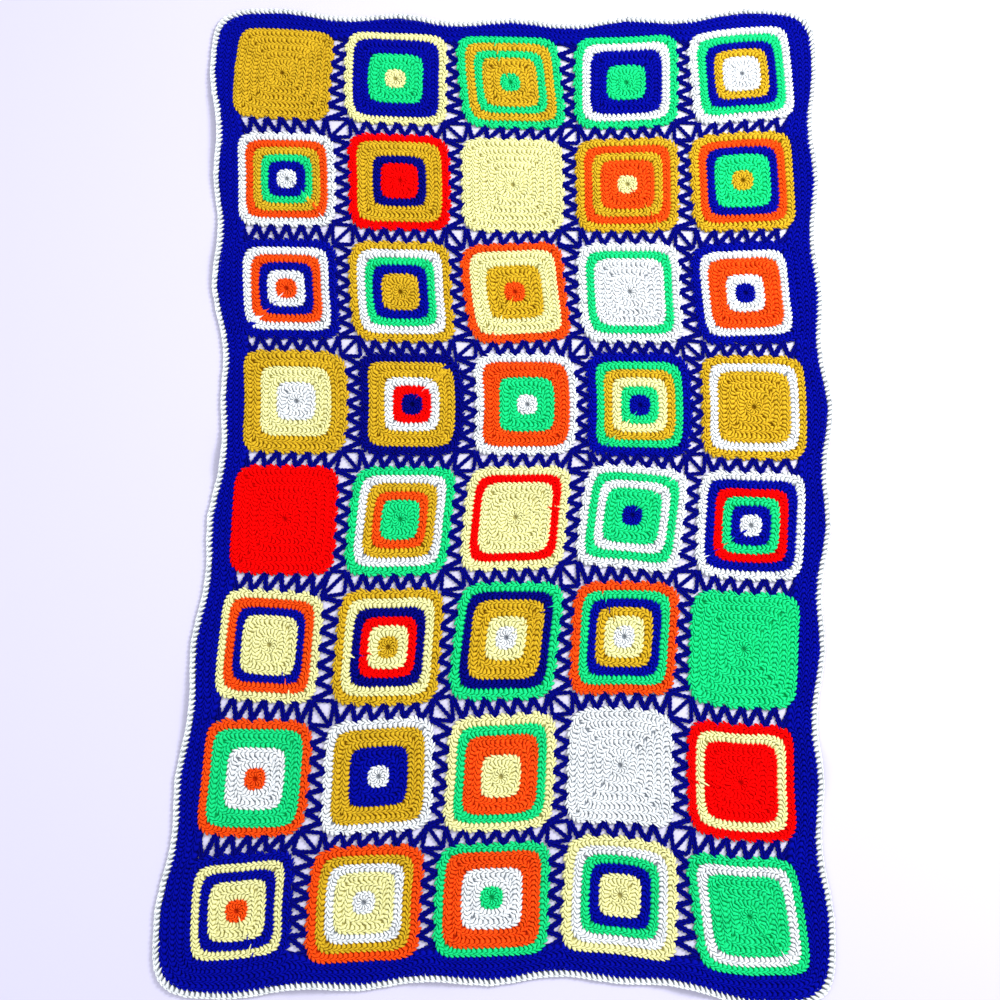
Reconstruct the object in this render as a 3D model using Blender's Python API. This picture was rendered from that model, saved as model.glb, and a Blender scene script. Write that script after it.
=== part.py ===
"""A crochet blanket: forty squares in eight rows of five, the lace that joins them, a border and an edging.

It lies spread out on a level surface. +X runs across the rows, +Y towards row 1, and +Z is up. The
origin is on the surface, in the middle of the blanket's outline. Lengths are in metres.

Every outline is first set out on an even grid, and laid() then moves it to where the cloth lies.
"""

import math
from collections import namedtuple

import bmesh
import bpy

COLLECTION = "granny_square_blanket"

COLUMNS = 5
ROWS = 8
PITCH = 0.145  # from one square's centre to the next
PIECE_GAP = 0.00035  # between pieces that are sewn to each other

SQUARE_HALF = 0.0645  # half of a square's side
SQUARE_FULLNESS = 6.0  # power of the superellipse: 2 is a circle, and a large one is a sharp square
SQUARE_STEPS = 16  # corners in a square's outline
SQUARE_THICKNESS = 0.0046
SQUARE_SOFT_EDGE = 0.0012  # bevel round a square's upper edge

LACE_THICKNESS = 0.0040

# The border's width at the middle of a square's side: three rounds, worked more tightly at the top.
BORDER_LEFT = 0.0225
BORDER_RIGHT = 0.0245
BORDER_TOP = 0.0190
BORDER_BOTTOM = 0.0240
BORDER_THICKNESS = 0.0045
BORDER_DRAWN_IN = 0.0070  # how far the outline draws in between two squares
BORDER_CORNER_FULLNESS = 4.6
BORDER_SPREAD = 0.46  # the part of a pitch, each side of a square's centre, that its section covers

EDGING_WIDTH = 0.0075  # one round
EDGING_THICKNESS = 0.0040

MILLIMETRE = 0.001
QUARTER = 90.0
EIGHTH = 45.0

# Where each row lies, in millimetres from the even grid: how far aside it is, towards +X, at its
# first, middle and last square, and how far each of its five squares is up, towards +Y.
LaidRow = namedtuple("LaidRow", "aside_first aside_middle aside_last up_1 up_2 up_3 up_4 up_5")
LAID_ROWS = (
    LaidRow(-15, -9, -2, 4, -3, -7, -6, 8),
    LaidRow(-1, -3, -3, 3, 2, -2, 0, 7),
    LaidRow(6, 2, -2, 2, -1, 1, 3, 3),
    LaidRow(26, 20, 6, 2, 0, 2, 3, 3),
    LaidRow(19, 8, 0, 0, 2, 7, 12, 2),
    LaidRow(9, 0, -11, -6, -6, 8, 12, 0),
    LaidRow(1, -3, -17, -16, -10, -7, 9, -8),
    LaidRow(-12, -11, -9, -18, -5, 4, 10, -10),
)

# Squares that were worked larger or smaller, or pulled out of true when they were joined: degrees
# anticlockwise, how far the upper edge leans towards +X for each metre of height, and the size.
Pull = namedtuple("Pull", "turn lean size")
NOT_PULLED = Pull(0.0, 0.0, 1.0)
PULLED_SQUARES = {
    (1, 1): Pull(-2.0, 0.03, 0.97),
    (1, 3): Pull(0.0, -0.10, 1.0),
    (1, 5): Pull(4.0, 0.0, 1.0),
    (2, 1): Pull(0.0, 0.0, 0.97),
    (2, 5): Pull(2.5, 0.0, 1.0),
    (3, 3): Pull(3.0, 0.0, 1.0),
    (3, 5): Pull(3.0, 0.0, 1.0),
    (4, 4): Pull(0.0, 0.0, 1.03),
    (5, 1): Pull(0.0, -0.06, 1.0),
    (5, 4): Pull(-3.0, 0.0, 1.0),
    (6, 1): Pull(-2.0, -0.05, 0.95),
    (6, 3): Pull(-2.0, 0.03, 1.0),
    (6, 4): Pull(2.0, 0.05, 1.0),
    (7, 1): Pull(0.0, -0.03, 0.98),
    (7, 2): Pull(3.0, 0.0, 1.0),
    (7, 5): Pull(0.0, 0.0, 0.97),
    (8, 1): Pull(5.0, 0.05, 0.96),
    (8, 4): Pull(-2.0, 0.0, 1.0),
    (8, 5): Pull(2.0, -0.08, 0.98),
}

# Where four squares meet, a chain crosses from corner to corner and leaves an opening on each side of
# it: "/" puts them above right and below left of the crossing, and "\" above left and below right.
CROSSINGS = (
    "\\/\\/",
    "\\///",
    "\\\\\\/",
    "/\\//",
    "\\//\\",
    "///\\",
    "///\\",
)
# The corners of the opening above right, from the crossing's middle.
OPENING_CORNERS = ((0.0010, 0.0160), (0.0030, 0.0030), (0.0160, 0.0010), (0.0125, 0.0125))

# Places where the border stands up in a soft ripple: the side, the distance along it from the middle
# towards +X or +Y, half of the ripple's length, and its height at the outline.
Ripple = namedtuple("Ripple", "side along half_length height")
RIPPLES = (
    Ripple("left", 0.440, 0.110, 0.0040),
    Ripple("left", 0.270, 0.060, 0.0025),
    Ripple("left", 0.010, 0.045, 0.0050),
    Ripple("left", -0.290, 0.070, 0.0030),
    Ripple("right", 0.420, 0.080, 0.0030),
    Ripple("right", 0.070, 0.070, 0.0035),
    Ripple("right", -0.345, 0.040, 0.0045),
    Ripple("top", -0.140, 0.060, 0.0025),
    Ripple("top", 0.150, 0.070, 0.0035),
    Ripple("bottom", -0.215, 0.060, 0.0040),
    Ripple("bottom", -0.070, 0.050, 0.0030),
    Ripple("bottom", 0.215, 0.050, 0.0035),
)

# A square along the outline, and the ways that its outer sides face, in degrees anticlockwise from +X.
OuterSquare = namedtuple("OuterSquare", "row column sides")

# The yarn of each square's last round, which gives the square's overall colour here.
YARNS = {
    "white": (0.90, 0.93, 0.93),
    "cream": (0.88, 0.86, 0.50),
    "gold": (0.68, 0.40, 0.03),
    "orange": (0.80, 0.09, 0.01),
    "red": (0.78, 0.01, 0.01),
    "green": (0.02, 0.55, 0.16),
    "blue": (0.01, 0.02, 0.50),
    "navy": (0.01, 0.01, 0.22),
}
LAST_ROUNDS = (
    ("gold", "cream", "green", "green", "white"),
    ("white", "red", "cream", "gold", "gold"),
    ("blue", "gold", "orange", "white", "blue"),
    ("gold", "navy", "white", "blue", "gold"),
    ("red", "green", "cream", "white", "white"),
    ("cream", "gold", "green", "orange", "green"),
    ("orange", "white", "cream", "white", "red"),
    ("blue", "orange", "green", "cream", "green"),
)
YARN_ROUGHNESS = 0.9


def clear_scene():
    for obj in list(bpy.data.objects):
        bpy.data.objects.remove(obj, do_unlink=True)


def smooth_between(values, place):
    """The value at a place between evenly spaced ones, on a curve through them all."""
    last = len(values) - 1
    place = min(max(place, 0.0), float(last))
    start = min(int(place), last - 1)
    t = place - start
    here = values[start]
    after = values[start + 1]
    slope_here = (after - values[max(start - 1, 0)]) / 2
    slope_after = (values[min(start + 2, last)] - here) / 2
    rise = after - here
    square_term = 3 * rise - 2 * slope_here - slope_after
    cube_term = slope_here + slope_after - 2 * rise
    return here + slope_here * t + square_term * t * t + cube_term * t * t * t


def moved(x, y):
    """A point of the even grid, moved as the cloth was laid, before the outline is centred."""
    column_place = x / PITCH + (COLUMNS - 1) / 2
    row_place = (ROWS - 1) / 2 - y / PITCH
    asides = []
    ups = []
    for row in LAID_ROWS:
        asides.append(smooth_between((row.aside_first, row.aside_middle, row.aside_last), column_place / 2))
        ups.append(smooth_between((row.up_1, row.up_2, row.up_3, row.up_4, row.up_5), column_place))
    aside = smooth_between(asides, row_place) * MILLIMETRE
    up = smooth_between(ups, row_place) * MILLIMETRE
    return x + aside, y + up


def square_centre(row, column):
    x = (column - (COLUMNS + 1) / 2) * PITCH
    y = ((ROWS + 1) / 2 - row) * PITCH
    return x, y


def superellipse(degrees, half, fullness):
    """A point of a rounded square's outline, about its centre."""
    cosine = math.cos(math.radians(degrees))
    sine = math.sin(math.radians(degrees))
    x = math.copysign(abs(cosine) ** (2 / fullness), cosine) * half
    y = math.copysign(abs(sine) ** (2 / fullness), sine) * half
    return x, y


def square_point(row, column, degrees, grow):
    """A point of a square's outline on the even grid, with the outline grown by so much all round."""
    pull = PULLED_SQUARES.get((row, column), NOT_PULLED)
    x, y = superellipse(degrees, SQUARE_HALF * pull.size + grow, SQUARE_FULLNESS)
    x += pull.lean * y
    turn = math.radians(pull.turn)
    centre_x, centre_y = square_centre(row, column)
    return (
        centre_x + x * math.cos(turn) - y * math.sin(turn),
        centre_y + x * math.sin(turn) + y * math.cos(turn),
    )


def square_outline(row, column, grow):
    step = 4 * QUARTER / SQUARE_STEPS
    return [square_point(row, column, index * step, grow) for index in range(SQUARE_STEPS)]


def outer_squares():
    """The squares along the outline, anticlockwise from the lower left."""
    places = [(ROWS, column) for column in range(1, COLUMNS)]
    places += [(row, COLUMNS) for row in range(ROWS, 1, -1)]
    places += [(1, column) for column in range(COLUMNS, 1, -1)]
    places += [(row, 1) for row in range(1, ROWS)]
    for row, column in places:
        sides = []
        if row == ROWS:
            sides.append(-QUARTER)
        if column == COLUMNS:
            sides.append(0.0)
        if row == 1:
            sides.append(QUARTER)
        if column == 1:
            sides.append(2 * QUARTER)
        if sides == [-QUARTER, 2 * QUARTER]:
            sides = [-2 * QUARTER, -QUARTER]
        yield OuterSquare(row, column, sides)


def drawn_in(share):
    """How far the outline lies inside its fullest reach, this share of the way to the next square."""
    return BORDER_DRAWN_IN * (1 - math.cos(math.pi * share)) / 2


def border_point(square, degrees, beyond):
    """The outline's point beside a square's edge point, so far beyond the blue border, on the grid."""
    centre_x, centre_y = square_centre(square.row, square.column)
    at_x, at_y = superellipse(degrees, 1.0, SQUARE_FULLNESS)
    half_x = SQUARE_HALF + beyond + (BORDER_RIGHT if at_x > 0 else BORDER_LEFT)
    half_y = SQUARE_HALF + beyond + (BORDER_TOP if at_y > 0 else BORDER_BOTTOM)
    if square.sides[0] < degrees < square.sides[-1]:
        x, y = superellipse(degrees, 1.0, BORDER_CORNER_FULLNESS)
        return centre_x + half_x * x, centre_y + half_y * y
    side = min(square.sides, key=lambda facing: abs(degrees - facing))
    out_x = round(math.cos(math.radians(side)))
    out_y = round(math.sin(math.radians(side)))
    share = (at_y * out_x - at_x * out_y) / superellipse(EIGHTH, 1.0, SQUARE_FULLNESS)[0]
    along = share * BORDER_SPREAD * PITCH
    out_x *= half_x - drawn_in(share)
    out_y *= half_y - drawn_in(share)
    if out_x == 0:
        return centre_x - math.copysign(1.0, out_y) * along, centre_y + out_y
    return centre_x + out_x, centre_y + math.copysign(1.0, out_x) * along


def section_angles(square):
    """The angles at which the border has a section beside a square, closer in the middle of a side."""
    fine = QUARTER / 8
    first = square.sides[0] - EIGHTH
    last = square.sides[-1] + EIGHTH
    for index in range(round((last - first) / fine) + 1):
        degrees = first + index * fine
        beside_corner = round(degrees / fine) % 8 in (3, 5)
        if not beside_corner:
            yield degrees


def outline_middle():
    """The middle of the laid blanket's outline, which becomes the origin."""
    points = []
    for square in outer_squares():
        for degrees in section_angles(square):
            points.append(moved(*border_point(square, degrees, EDGING_WIDTH)))
    xs = [x for x, _ in points]
    ys = [y for _, y in points]
    return (min(xs) + max(xs)) / 2, (min(ys) + max(ys)) / 2


MIDDLE = outline_middle()


def laid(point):
    """A point of the even grid where it lies in the blanket."""
    x, y = moved(*point)
    return x - MIDDLE[0], y - MIDDLE[1]


def edge_place(row, column, degrees, grow):
    """Where a section starts: a laid place on the straight-sided outline that a square has."""
    step = 4 * QUARTER / SQUARE_STEPS
    before = math.floor(degrees / step) * step
    share = (degrees - before) / step
    x1, y1 = laid(square_point(row, column, before, grow))
    x2, y2 = laid(square_point(row, column, before + step, grow))
    return x1 + share * (x2 - x1), y1 + share * (y2 - y1)


def ripple_height(x, y):
    """How high the blanket's outer edge stands at a laid place beside it."""
    height = 0.0
    half_width = COLUMNS * PITCH / 2
    half_length = ROWS * PITCH / 2
    for ripple in RIPPLES:
        beside = {
            "left": x < -half_width + PITCH / 2,
            "right": x > half_width - PITCH / 2,
            "bottom": y < -half_length + PITCH / 2,
            "top": y > half_length - PITCH / 2,
        }[ripple.side]
        along = y if ripple.side in ("left", "right") else x
        share = abs(along - ripple.along) / ripple.half_length
        if beside and share < 1:
            height += ripple.height * (1 + math.cos(math.pi * share)) / 2
    return height


def yarn_material(name):
    material = bpy.data.materials.get(name)
    if material is None:
        material = bpy.data.materials.new(name)
        material.use_nodes = True
        shader = material.node_tree.nodes["Principled BSDF"]
        shader.inputs["Base Color"].default_value = (*YARNS[name], 1.0)
        shader.inputs["Roughness"].default_value = YARN_ROUGHNESS
        shader.inputs["Metallic"].default_value = 0.0
    return material


def add_object(name, data, yarn, collection):
    obj = bpy.data.objects.new(name, data)
    obj.data.materials.append(yarn_material(yarn))
    collection.objects.link(obj)
    return obj


def add_square(row, column, collection):
    """A thin rounded square: a drum with its top inset and raised, then each corner set on the outline."""
    wall = SQUARE_THICKNESS - SQUARE_SOFT_EDGE
    shape = bmesh.new()
    bmesh.ops.create_cone(
        shape,
        cap_ends=True,
        segments=SQUARE_STEPS,
        radius1=SQUARE_HALF,
        radius2=SQUARE_HALF,
        depth=wall,
    )
    shape.normal_update()
    top = [face for face in shape.faces if face.normal.z > 0.5]
    bmesh.ops.inset_region(shape, faces=top, thickness=SQUARE_SOFT_EDGE, depth=SQUARE_SOFT_EDGE)
    step = 4 * QUARTER / SQUARE_STEPS
    for vert in shape.verts:
        degrees = round(math.degrees(math.atan2(vert.co.y, vert.co.x)) / step) * step
        on_top = vert.co.z > (wall + SQUARE_SOFT_EDGE) / 2
        grow = -SQUARE_SOFT_EDGE if on_top else 0.0
        x, y = laid(square_point(row, column, degrees, grow))
        vert.co = (x, y, vert.co.z + wall / 2)
    mesh = bpy.data.meshes.new("square")
    shape.to_mesh(mesh)
    shape.free()
    add_object(f"granny_square_r{row}_c{column}", mesh, LAST_ROUNDS[row - 1][column - 1], collection)


def lace_outline():
    """The lace's outer edge on the grid: round the inner sides of the squares along the outline."""
    step = 4 * QUARTER / SQUARE_STEPS
    outline = []
    for square in outer_squares():
        first = square.sides[0] - EIGHTH
        last = square.sides[-1] + EIGHTH - 4 * QUARTER
        count = round((first - last) / step)
        for index in range(count + 1):
            degrees = first - index * step
            x, y = square_point(square.row, square.column, degrees, PIECE_GAP)
            if index in (0, count):
                # The lace's end stops short of the border: it slides back along the round corner.
                back = degrees - QUARTER if index == 0 else degrees + QUARTER
                x += PIECE_GAP * math.sqrt(2) * math.cos(math.radians(back))
                y += PIECE_GAP * math.sqrt(2) * math.sin(math.radians(back))
            outline.append((x, y))
    return outline


def crossing_openings():
    """The openings where four squares meet, on the grid, two at each crossing."""
    for upper_row, signs in enumerate(CROSSINGS, start=1):
        for left_column, sign in enumerate(signs, start=1):
            square_x, square_y = square_centre(upper_row, left_column)
            middle_x = square_x + PITCH / 2
            middle_y = square_y - PITCH / 2
            mirror = 1 if sign == "/" else -1
            for half_turn in (1, -1):
                yield [
                    (middle_x + half_turn * mirror * x, middle_y + half_turn * y)
                    for x, y in OPENING_CORNERS
                ]


def add_outline(curve, outline):
    """One closed edge of a flat shape: a second one inside the first becomes a hole in it."""
    spline = curve.splines.new("POLY")
    spline.points.add(len(outline) - 1)
    for point, place in zip(spline.points, outline):
        x, y = laid(place)
        point.co = (x, y, 0.0, 1.0)
    spline.use_cyclic_u = True


def add_lace(collection):
    """One flat net between the squares, with a hole for each square and for each opening."""
    curve = bpy.data.curves.new("lace", "CURVE")
    curve.dimensions = "2D"
    curve.fill_mode = "BOTH"
    curve.extrude = LACE_THICKNESS / 2
    add_outline(curve, lace_outline())
    for row in range(2, ROWS):
        for column in range(2, COLUMNS):
            add_outline(curve, square_outline(row, column, PIECE_GAP))
    for opening in crossing_openings():
        add_outline(curve, opening)
    lace = add_object("joining_lace", curve, "navy", collection)
    lace.location.z = LACE_THICKNESS / 2


def add_ring(name, sections, thickness, yarn, collection):
    """A closed band lofted through sections, each an inner and an outer place with their heights."""
    mesh = bpy.data.meshes.new(name)
    shape = bmesh.new()
    corners = []
    for (inner, inner_z), (outer, outer_z) in sections:
        corners.append(
            [
                shape.verts.new((*inner, inner_z)),
                shape.verts.new((*outer, outer_z)),
                shape.verts.new((*outer, outer_z + thickness)),
                shape.verts.new((*inner, inner_z + thickness)),
            ]
        )
    for here, there in zip(corners, corners[1:] + corners[:1]):
        for index in range(4):
            following = (index + 1) % 4
            shape.faces.new((here[index], here[following], there[following], there[index]))
    bmesh.ops.recalc_face_normals(shape, faces=shape.faces)
    shape.to_mesh(mesh)
    shape.free()
    add_object(name, mesh, yarn, collection)


def rippled(point, share):
    """A laid place and its height, which rises from nothing at the squares to all of it at the outline."""
    place = laid(point)
    return place, share * ripple_height(*place)


def add_border_and_edging(collection):
    blue_share = BORDER_LEFT / (BORDER_LEFT + EDGING_WIDTH)
    border = []
    edging = []
    for square in outer_squares():
        for degrees in section_angles(square):
            at_square = edge_place(square.row, square.column, degrees, PIECE_GAP)
            blue_edge = border_point(square, degrees, 0.0)
            white_start = border_point(square, degrees, PIECE_GAP)
            white_edge = border_point(square, degrees, EDGING_WIDTH)
            border.append(((at_square, 0.0), rippled(blue_edge, blue_share)))
            edging.append((rippled(white_start, blue_share), rippled(white_edge, 1.0)))
    add_ring("blue_border", border, BORDER_THICKNESS, "blue", collection)
    add_ring("white_edging", edging, EDGING_THICKNESS, "white", collection)


def main():
    clear_scene()
    collection = bpy.data.collections.new(COLLECTION)
    bpy.context.scene.collection.children.link(collection)
    for row in range(1, ROWS + 1):
        for column in range(1, COLUMNS + 1):
            add_square(row, column, collection)
    add_lace(collection)
    add_border_and_edging(collection)


main()
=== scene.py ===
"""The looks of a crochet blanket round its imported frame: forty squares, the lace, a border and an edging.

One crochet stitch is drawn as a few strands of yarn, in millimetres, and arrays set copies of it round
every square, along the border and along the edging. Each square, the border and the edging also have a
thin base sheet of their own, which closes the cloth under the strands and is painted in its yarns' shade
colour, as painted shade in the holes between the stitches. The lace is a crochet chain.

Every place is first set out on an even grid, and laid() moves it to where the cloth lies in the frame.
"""

import math
from collections import namedtuple

import bpy
import numpy as np
from mathutils import Matrix, Vector


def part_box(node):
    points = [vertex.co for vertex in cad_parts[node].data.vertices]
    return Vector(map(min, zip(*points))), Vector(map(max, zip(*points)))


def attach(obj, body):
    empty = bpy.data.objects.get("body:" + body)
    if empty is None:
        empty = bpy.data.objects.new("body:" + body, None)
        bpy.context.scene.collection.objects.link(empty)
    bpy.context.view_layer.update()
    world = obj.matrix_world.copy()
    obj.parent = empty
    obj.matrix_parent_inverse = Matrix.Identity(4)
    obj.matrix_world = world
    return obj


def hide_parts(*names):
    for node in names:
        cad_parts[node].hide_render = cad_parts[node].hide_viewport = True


SEED = 41
MM = 0.001
TURN = 2 * math.pi
TINY = 1e-9  # keeps a direction's length above nothing

COLUMNS = 5
ROWS = 8
PITCH = 0.145  # from one square's centre to the next

SQUARE_HALF = 0.0645
SQUARE_FULLNESS = 6.0  # power of the superellipse: 2 is a circle, and a large one is a sharp square
FRAME_STEPS = 16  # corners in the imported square's outline
MIDDLE_SQUARE = (5, 3)  # row and column

RIGHT, TOP, LEFT, BOTTOM = range(4)  # a square's sides, anticlockwise

# Six rounds of stitches, from the middle outwards. The first edge is the hole in the middle. A
# fullness is an edge's power as a superellipse: the rounds turn from circles into squares.
ROUND_EDGES = (0.040, 0.198, 0.370, 0.530, 0.685, 0.840, 0.985)  # as shares of the half side
EDGE_SPREAD = 0.008  # how far an edge may lie from there, in one square and another
EDGE_FULLNESS = (2.0, 2.6, 4.0, 5.0, 5.8, 6.6, 7.2)
ROUND_STITCHES = (12, 24, 36, 52, 64, 76)  # in each round
GATHERED = (0.0, 0.12, 0.30, 0.28, 0.22, 0.18)  # how much closer a round's stitches start at its corners
CORNER_GAP = (0.0, 0.30, 0.40, 0.42, 0.42, 0.42)  # of a stitch, that opens where a round turns a corner
CENTRE = 0.006  # where the base sheet starts, as a share of the half side

JOIN_STEPS = 6  # steps along a square's side from one place where the lace is joined on to the next
JOINED_AT_CORNERS = (RIGHT, BOTTOM)  # on the other two, the lace is joined on half a step further along
SCALLOP = 4.4  # how far the edge stands out between two of them, in millimetres
SCALLOP_SHARE = 0.5  # of that is outside the square's outline
SCALLOP_POWER = 0.8  # below 1 makes round scallops with sharp notches
SCALLOP_FADE = 6  # they fade out over one part in so many of a side, towards its corners

# The base sheets: how high their two faces lie, and how many faces go round a square's.
BASE_BOTTOM = 0.3 * MM
BASE_TOP = 2.0 * MM
BASE_SEGMENTS = 72
BASE_INSET = 1.9  # how far the base sheet stays inside the last stitches, in millimetres

# The border's width at the middle of a square's side.
BORDER_LEFT = 0.0225
BORDER_RIGHT = 0.0245
BORDER_TOP = 0.0190
BORDER_BOTTOM = 0.0240
BORDER_DRAWN_IN = 0.0070  # how far the outline draws in between two squares
BORDER_CORNER_FULLNESS = 4.6
BORDER_SPREAD = 0.46  # the part of a pitch, each side of a square's centre, that its section covers
BORDER_ANGLE_STEP = 3.75  # degrees of a square's outline between two sections of the border
CORNER_REACH = 1.2  # how much further round the corners at its ends a section's inner line goes
BORDER_OVERLAP = 0.6 * MM  # how far inside a square's edge the border starts
BORDER_ROUNDS = 3
BORDER_STITCH = 6.1  # millimetres along the border
BORDER_BASE = (-0.06, 0.98)  # where its base sheet lies across it, from under the squares' last stitches
BORDER_BASE_ROWS = 6
EDGING_WIDTH = 0.0075
EDGING_STITCH = 6.1
EDGING_BASE = (0.1, 0.9)
EDGING_BASE_ROWS = 2
BAND_BASE_STEP = 4 * MM  # along the base sheets of the border and the edging

CHAIN_LINK = 4.8  # millimetres along the chain
JOIN_INSET = 1.6 * MM  # how far inside a square's outline the chain is joined on
JOIN_SPREAD = 0.7 * MM  # how far a join may lie from its even place
CORNER_STAND_OFF = 3.4 * MM  # how much further out it passes the square's corners
CHAIN_BASE = 1.4 * MM  # the height that its links are drawn from
LINK_STEPS = 4  # points that a straight run of the chain is laid with
KNOT = 0.45  # how much wider the chain is where it turns
KNOT_REACH = 4.0 * MM
CHAIN_AHEAD = 0.6 * MM  # how far ahead and behind the chain's direction is read
CROSSING_WIDTH = 0.78  # of the chain's width, where four squares meet

# Where each row lies, in millimetres from the even grid: how far aside it is, towards +X, at its
# first, middle and last square, and how far each of its five squares is up, towards +Y.
LaidRow = namedtuple("LaidRow", "asides ups")
LAID_ROWS = (
    LaidRow((-15, -9, -2), (4, -3, -7, -6, 8)),
    LaidRow((-1, -3, -3), (3, 2, -2, 0, 7)),
    LaidRow((6, 2, -2), (2, -1, 1, 3, 3)),
    LaidRow((26, 20, 6), (2, 0, 2, 3, 3)),
    LaidRow((19, 8, 0), (0, 2, 7, 12, 2)),
    LaidRow((9, 0, -11), (-6, -6, 8, 12, 0)),
    LaidRow((1, -3, -17), (-16, -10, -7, 9, -8)),
    LaidRow((-12, -11, -9), (-18, -5, 4, 10, -10)),
)

# Squares pulled out of true: degrees anticlockwise, lean towards +X for each metre up, and the size.
Pull = namedtuple("Pull", "turn lean size")
NOT_PULLED = Pull(0.0, 0.0, 1.0)
PULLED_SQUARES = {
    (1, 1): Pull(-2.0, 0.03, 0.97),
    (1, 3): Pull(0.0, -0.10, 1.0),
    (1, 5): Pull(4.0, 0.0, 1.0),
    (2, 1): Pull(0.0, 0.0, 0.97),
    (2, 5): Pull(2.5, 0.0, 1.0),
    (3, 3): Pull(3.0, 0.0, 1.0),
    (3, 5): Pull(3.0, 0.0, 1.0),
    (4, 4): Pull(0.0, 0.0, 1.03),
    (5, 1): Pull(0.0, -0.06, 1.0),
    (5, 4): Pull(-3.0, 0.0, 1.0),
    (6, 1): Pull(-2.0, -0.05, 0.95),
    (6, 3): Pull(-2.0, 0.03, 1.0),
    (6, 4): Pull(2.0, 0.05, 1.0),
    (7, 1): Pull(0.0, -0.03, 0.98),
    (7, 2): Pull(3.0, 0.0, 1.0),
    (7, 5): Pull(0.0, 0.0, 0.97),
    (8, 1): Pull(5.0, 0.05, 0.96),
    (8, 4): Pull(-2.0, 0.0, 1.0),
    (8, 5): Pull(2.0, -0.08, 0.98),
}

# Each square's six rounds, from the middle outwards: W white, C cream, G gold, O orange, R red,
# E green, B blue and N navy.
YARN_LETTERS = {
    "W": "white",
    "C": "cream",
    "G": "gold",
    "O": "orange",
    "R": "red",
    "E": "green",
    "B": "blue",
    "N": "navy",
}
SQUARE_ROUNDS = (
    ("GGGGGG", "CEEBBC", "EGGEGE", "EEBBWE", "WWGBEW"),
    ("WBEGOW", "RRNGGR", "CCCCCC", "COOGOG", "GEEBOG"),
    ("OWBOWB", "GGBEWG", "OGGCCO", "WWWWEW", "BWOOWB"),
    ("WWCCGG", "NRWGGN", "WEEOOW", "BECGEB", "GGGGWG"),
    ("RRRRRR", "EEOGWE", "CCCCRC", "BEEWEW", "WBERBW"),
    ("CCCBOC", "GCRNCG", "WCGGNE", "WCGBEO", "EEEEEE"),
    ("OWWEEO", "WBBGGW", "CCOOEC", "WWWWWW", "RRRRCR"),
    ("OCCBCB", "WCCWGO", "EWWOOE", "CCBEWC", "EEEEWE"),
)

# Where a square's rounds start, in degrees anticlockwise from +X, where it shows: a slanting chain
# stands there, that reaches back over the round before.
ROUND_STARTS = {
    (1, 3): 98,
    (2, 1): -50,
    (2, 4): -62,
    (3, 1): 222,
    (3, 3): 236,
    (4, 2): 42,
    (4, 4): 232,
    (5, 3): 6,
    (5, 4): 48,
    (5, 5): 214,
    (6, 1): 292,
    (6, 2): 186,
    (6, 3): 28,
    (6, 4): 112,
    (7, 5): 182,
    (8, 1): 283,
    (8, 5): 304,
}

# A square along the outline, and the ways that its outer sides face, in degrees anticlockwise from +X.
OuterSquare = namedtuple("OuterSquare", "row column sides")

# The way that the chain crosses where four squares meet: "/" leaves openings above right and below
# left of it, and "\" above left and below right.
CROSSINGS = (
    "\\/\\/",
    "\\///",
    "\\\\\\/",
    "/\\//",
    "\\//\\",
    "///\\",
    "///\\",
)

# Places where the border stands up in a soft ripple: the side, the distance along it from the middle
# towards +X or +Y, half of the ripple's length, and its height at the outline.
Ripple = namedtuple("Ripple", "side along half_length height")
RIPPLES = (
    Ripple("left", 0.440, 0.110, 0.0040),
    Ripple("left", 0.270, 0.060, 0.0025),
    Ripple("left", 0.010, 0.045, 0.0050),
    Ripple("left", -0.290, 0.070, 0.0030),
    Ripple("right", 0.420, 0.080, 0.0030),
    Ripple("right", 0.070, 0.070, 0.0035),
    Ripple("right", -0.345, 0.040, 0.0045),
    Ripple("top", -0.140, 0.060, 0.0025),
    Ripple("top", 0.150, 0.070, 0.0035),
    Ripple("bottom", -0.215, 0.060, 0.0040),
    Ripple("bottom", -0.070, 0.050, 0.0030),
    Ripple("bottom", 0.215, 0.050, 0.0035),
)

# A strand of yarn in a stitch: points on its line with the strand's half width there. All are in
# millimetres: along the round, outwards across it, and up from the base sheet.
Bend = namedtuple("Bend", "along out up half_width")
STITCH_HEIGHT = 10.0  # what the strands below are drawn for
STITCH_PITCH = 6.1
# A stitch is a post, a band that lies across it and a loop along its top.
POST = (
    Bend(-1.4, -1.6, 0.3, 0.8),
    Bend(-1.0, 0.5, 2.6, 2.0),
    Bend(-0.2, 2.9, 3.2, 3.1),
    Bend(0.2, 5.0, 2.6, 3.25),
)
# The post where stitches fan out round the middle: it is wider at its foot.
FULL_POST = (
    Bend(-1.0, -1.6, 0.6, 1.6),
    Bend(-0.6, 0.5, 2.5, 2.8),
    Bend(-0.1, 2.9, 3.2, 3.1),
    Bend(0.2, 5.0, 2.6, 3.25),
)
BAND_STRAND = (
    Bend(6.7, 5.0, 1.6, 0.9),
    Bend(4.4, 5.8, 3.2, 1.5),
    Bend(2.0, 6.6, 3.2, 1.5),
    Bend(-0.5, 7.4, 1.6, 0.9),
)
TOP_LOOP = (
    Bend(-3.6, 7.5, 1.6, 1.1),
    Bend(-1.2, 8.4, 3.1, 1.7),
    Bend(1.0, 9.5, 2.9, 1.6),
    Bend(2.7, 10.9, 0.9, 0.7),
)
STITCH = (POST, BAND_STRAND, TOP_LOOP)
FULL_STITCH = (FULL_POST, BAND_STRAND, TOP_LOOP)
FULL_ROUNDS = 2  # from the middle, of the fuller stitch
# The slanting chain where a round starts.
START = (
    Bend(2.6, -5.6, 2.6, 0.7),
    Bend(1.2, -1.8, 4.4, 1.4),
    Bend(-0.3, 2.0, 4.6, 1.5),
    Bend(-1.6, 5.6, 4.0, 1.5),
    Bend(-2.0, 9.0, 3.0, 1.0),
)
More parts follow.
